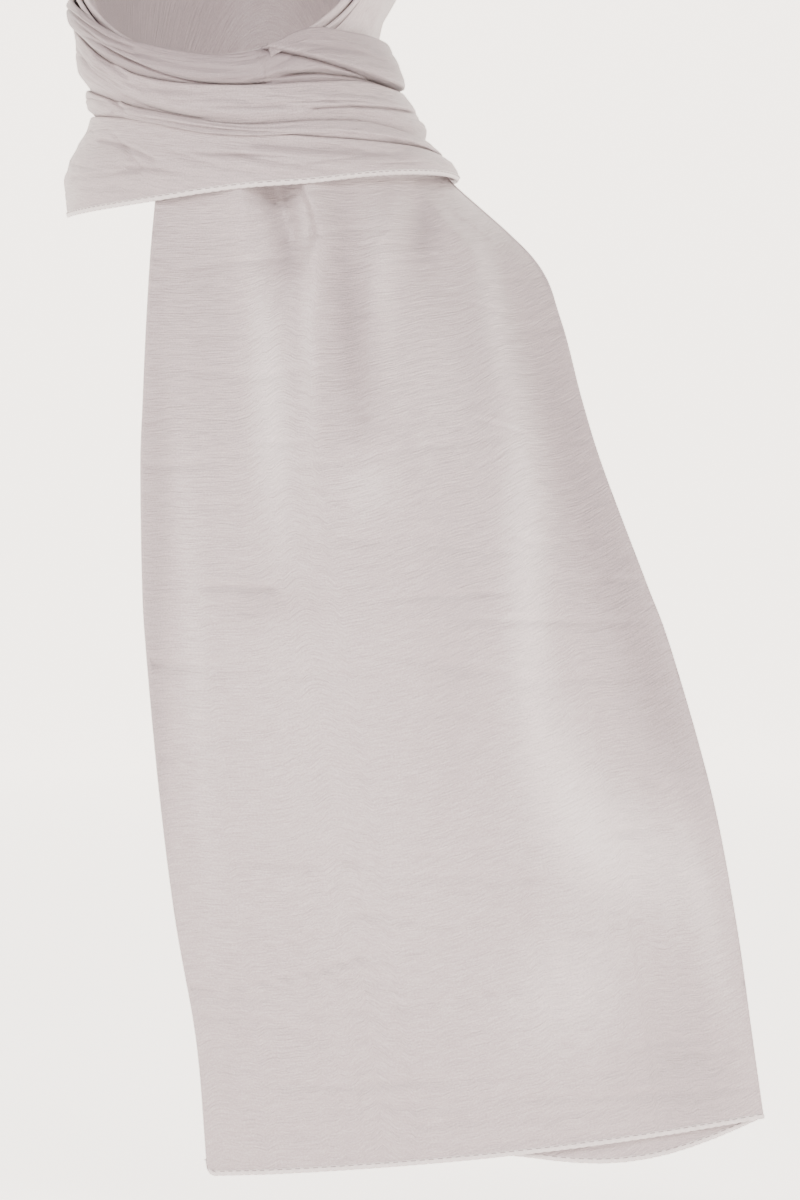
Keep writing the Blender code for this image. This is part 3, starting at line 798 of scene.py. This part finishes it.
def panel_folds(x, z):
    """How far the end's folds stand out in the front view: bells about lines that run down it."""
    relief = np.zeros_like(x)
    for rows in PANEL_FOLDS:
        fold = table(FOLD_COLUMNS, rows[::-1])
        off = x - flowing(z, fold["z"], fold["x"])
        reach = np.where(off < 0, np.interp(z, fold["z"], fold["left"]),
                         np.interp(z, fold["z"], fold["right"]))
        relief += np.interp(z, fold["z"], fold["out"]) * np.exp(-((off / reach) ** 2))
    relief *= eased((FOLDS_START[0] - z) / FOLDS_START[1]) * 0.5 + 0.5
    line = np.array(MARGIN_LINE[::-1], float) * MM
    off = x - flowing(z, line[:, 0], line[:, 1])
    turned = eased((-330 * MM - z) / (80 * MM))
    falling = -MARGIN_SLOPE * np.clip(-off, 0, None)
    return relief + turned * (falling + MARGIN_RIDGE * np.exp(-((off / (3 * MM)) ** 2)))


def panel_layer(across, down, layer, beyond):
    """The hanging end: across goes from left to right and down to the hem, each 0 to 1.

    layer counts the steps behind the front one, and beyond reaches past a folded side. Points
    lie between the two side edges, in depth on a cubic through five places across.
    """
    rows = table(PANEL_COLUMNS, PANEL_ROWS)
    knots = np.linspace(0, 1, len(PANEL_ROWS))
    at = {name: flowing(down, knots, values) for name, values in rows.items()}
    start, end = np.sin(np.radians(TOP_ARC))
    arc = np.sin(np.radians(TOP_ARC[0] + (TOP_ARC[1] - TOP_ARC[0]) * across))
    flat = eased(down / FLAT_FROM)
    share = across * flat + (arc - start) / (end - start) * (1 - flat)
    left, right = at["left_x"] + LAYER_STEP, at["right_x"] - LAYER_STEP / 2
    x = left + (right - left) * share
    z = at["left_z"] + (at["right_z"] - at["left_z"]) * share
    drop = BACK_DROP * np.sin(np.pi * (across - BACK_DROP_FROM) / (1 - BACK_DROP_FROM))
    drop = np.where(across > BACK_DROP_FROM, drop, (across - BACK_DROP_FROM) * BACK_DROP)
    z = z - HEM_SAG * 4 * across * (1 - across) * down - drop * np.minimum(layer, 1) * down ** 6
    place = np.clip((across * 4).astype(int), 0, 3)
    depths = np.stack([at[name] for name in ("y0", "y1", "y2", "y3", "y4")], axis=-1)
    slopes = np.gradient(depths, axis=-1)
    pick = [np.take_along_axis(values, place[..., None] + step, axis=-1)[..., 0]
            for values in (depths, slopes) for step in (0, 1)]
    t = across * 4 - place
    y = pick[0] + (pick[1] - pick[0]) * eased(t)
    y = y + t * (1 - t) * ((1 - t) * pick[2] - t * pick[3])
    spread = GATHERED + (1 - GATHERED) * flat
    relief = panel_folds(x, z) + CREASES_DEEPER * creases(x, z, PANEL_CREASES)
    fine = crinkles(x + 0.6 * layer, z, **END_CRINKLES)
    y = y - relief - fine * eased((-290 * MM - z) / (30 * MM)) + layer * LAYER_STEP * spread
    return np.stack([x + beyond * spread, y, z], axis=-1)


def painted_light_patches(x, z, rows):
    """Sum of painted highlight and shade patches in a front view, middles drifting across with
    height.
    """
    streaks = crinkles(x, z, **STREAKS)
    x = x + streaks * STREAK_REACH
    light_paint = np.zeros_like(x)
    for middle_x, middle_z, across, down, drift, strength in rows:
        off = (x - middle_x * MM - drift * MM * (z - middle_z * MM)) / (across * MM)
        light_paint += strength * np.exp(-off ** 2 - ((z - middle_z * MM) / (down * MM)) ** 2)
    return light_paint


turned = np.linspace(0, np.pi, 7)[1:-1]
off = (np.linspace(0, 1, PANEL_COLUMNS_FRONT) - FINE_AT) / FINE_WITHIN
front = np.cumsum(1 / (1 + FINE_BY * np.exp(-(off ** 2))))
front = (front - front[0]) / (front[-1] - front[0])
path = ([(across, 2, 0) for across in np.linspace(TURNED_REACH[0], 0, 24)]
        + [(0, 1 + math.cos(a), -LAYER_STEP * math.sin(a)) for a in turned]
        + [(across, 0, 0) for across in front]
        + [(1, (1 - math.cos(a)) / 2, LAYER_STEP / 2 * math.sin(a)) for a in turned]
        + [(across, 1, 0) for across in np.linspace(1, TURNED_REACH[1], 24)])
path = np.array(path)
down = np.linspace(0, 1, PANEL_ROWS_DOWN)[:, None] * np.ones(len(path))
across, layer, beyond = (column * np.ones_like(down) for column in path.T)
panel_points = panel_layer(across, down, layer, beyond)
# Painted highlight and painted shade in soft patches over the hanging end.
panel_painted_light = painted_light_patches(panel_points[..., 0], panel_points[..., 2], PAINTED_LIGHT_PATCHES)
finished_cloth("front_end", "hanging_end", panel_points, panel_painted_light, False)
sewn_hem("end_hem", panel_points[-1], panel_points[-3], False, (1, -1))


# The studio: a pale round floor that curves up far away, soft even light and one long lens
# square to the front, at the height of the middle of what the picture shows.
FLOOR_COLOUR = "#efeae4"
FLOOR_Z = -0.75
FLOOR_RADIUS, WALL_HEIGHT = 26.0, 14.0
CAMERA_DISTANCE = 6.0
PICTURE_HEIGHT = 0.54
PICTURE_MIDDLE = (0.0756, -0.4764)
PANEL_DEPTH = -0.09
SENSOR = 36.0
FLOOR_RINGS, FLOOR_SPOKES = 48, 96
FLAT_SHARE = 0.6
LIT_POINT = (0.05, -0.1, -0.45)

ring_share, floor_turn = np.meshgrid(np.linspace(0, 1, FLOOR_RINGS),
                                     np.linspace(0, math.tau, FLOOR_SPOKES + 1)[:-1], indexing="ij")
bend = np.clip((ring_share - FLAT_SHARE) / (1 - FLAT_SHARE), 0, 1)
reach = FLOOR_RADIUS * (ring_share + 0.02) * (1 - 0.12 * bend ** 2)
rise = WALL_HEIGHT * bend ** 2
bowl = np.stack([reach * np.cos(floor_turn), reach * np.sin(floor_turn), FLOOR_Z + rise], axis=-1)
index = np.arange(FLOOR_RINGS * FLOOR_SPOKES).reshape(FLOOR_RINGS, FLOOR_SPOKES)
index = np.concatenate([index, index[:, :1]], axis=1)
corners = (index[:-1, :-1], index[1:, :-1], index[1:, 1:], index[:-1, 1:])
floor_mesh = bpy.data.meshes.new("floor")
floor_mesh.from_pydata(bowl.reshape(-1, 3), [], np.stack(corners, axis=-1).reshape(-1, 4).tolist()
                       + [list(range(FLOOR_SPOKES))])
floor_mesh.shade_smooth()
floor = bpy.data.objects.new("floor", floor_mesh)
bpy.context.scene.collection.objects.link(floor)
paint = bpy.data.materials.new("matt_paper")
paint.use_nodes = True
shader = paint.node_tree.nodes["Principled BSDF"]
shader.inputs["Base Color"].default_value = linear(FLOOR_COLOUR)
shader.inputs["Roughness"].default_value = 0.9
shader.inputs["Emission Color"].default_value = linear("#fff8f0")
shader.inputs["Emission Strength"].default_value = 2.6
floor_mesh.materials.append(paint)

world = bpy.data.worlds.new("soft_studio")
world.use_nodes = True
world.node_tree.nodes["Background"].inputs["Color"].default_value = linear("#fbf7f1")
world.node_tree.nodes["Background"].inputs["Strength"].default_value = 0.7
bpy.context.scene.world = world


def soft_box(name, place, target, size, power):
    """A square area light that faces its target."""
    light = bpy.data.lights.new(name, "AREA")
    light.shape = "SQUARE"
    light.size = size
    light.energy = power
    lamp = bpy.data.objects.new(name, light)
    lamp.location = place
    aim = np.array(target) - np.array(place)
    lamp.rotation_euler = (math.atan2(math.hypot(aim[0], aim[1]), -aim[2]), 0,
                           math.atan2(aim[0], -aim[1]) + math.pi)
    bpy.context.scene.collection.objects.link(lamp)


soft_box("key", place=(0.5, -3.0, 1.5), target=LIT_POINT, size=1.0, power=75)
soft_box("fill", place=(-1.6, -2.2, 0.3), target=LIT_POINT, size=1.6, power=15)

camera = bpy.data.objects.new("camera", bpy.data.cameras.new("camera"))
camera.location = (PICTURE_MIDDLE[0], PANEL_DEPTH - CAMERA_DISTANCE, PICTURE_MIDDLE[1])
camera.rotation_euler = (math.pi / 2, 0, 0)
camera.data.sensor_width = SENSOR
camera.data.lens = SENSOR * CAMERA_DISTANCE / PICTURE_HEIGHT
camera.data.clip_end = 100
bpy.context.scene.collection.objects.link(camera)
bpy.context.scene.camera = camera
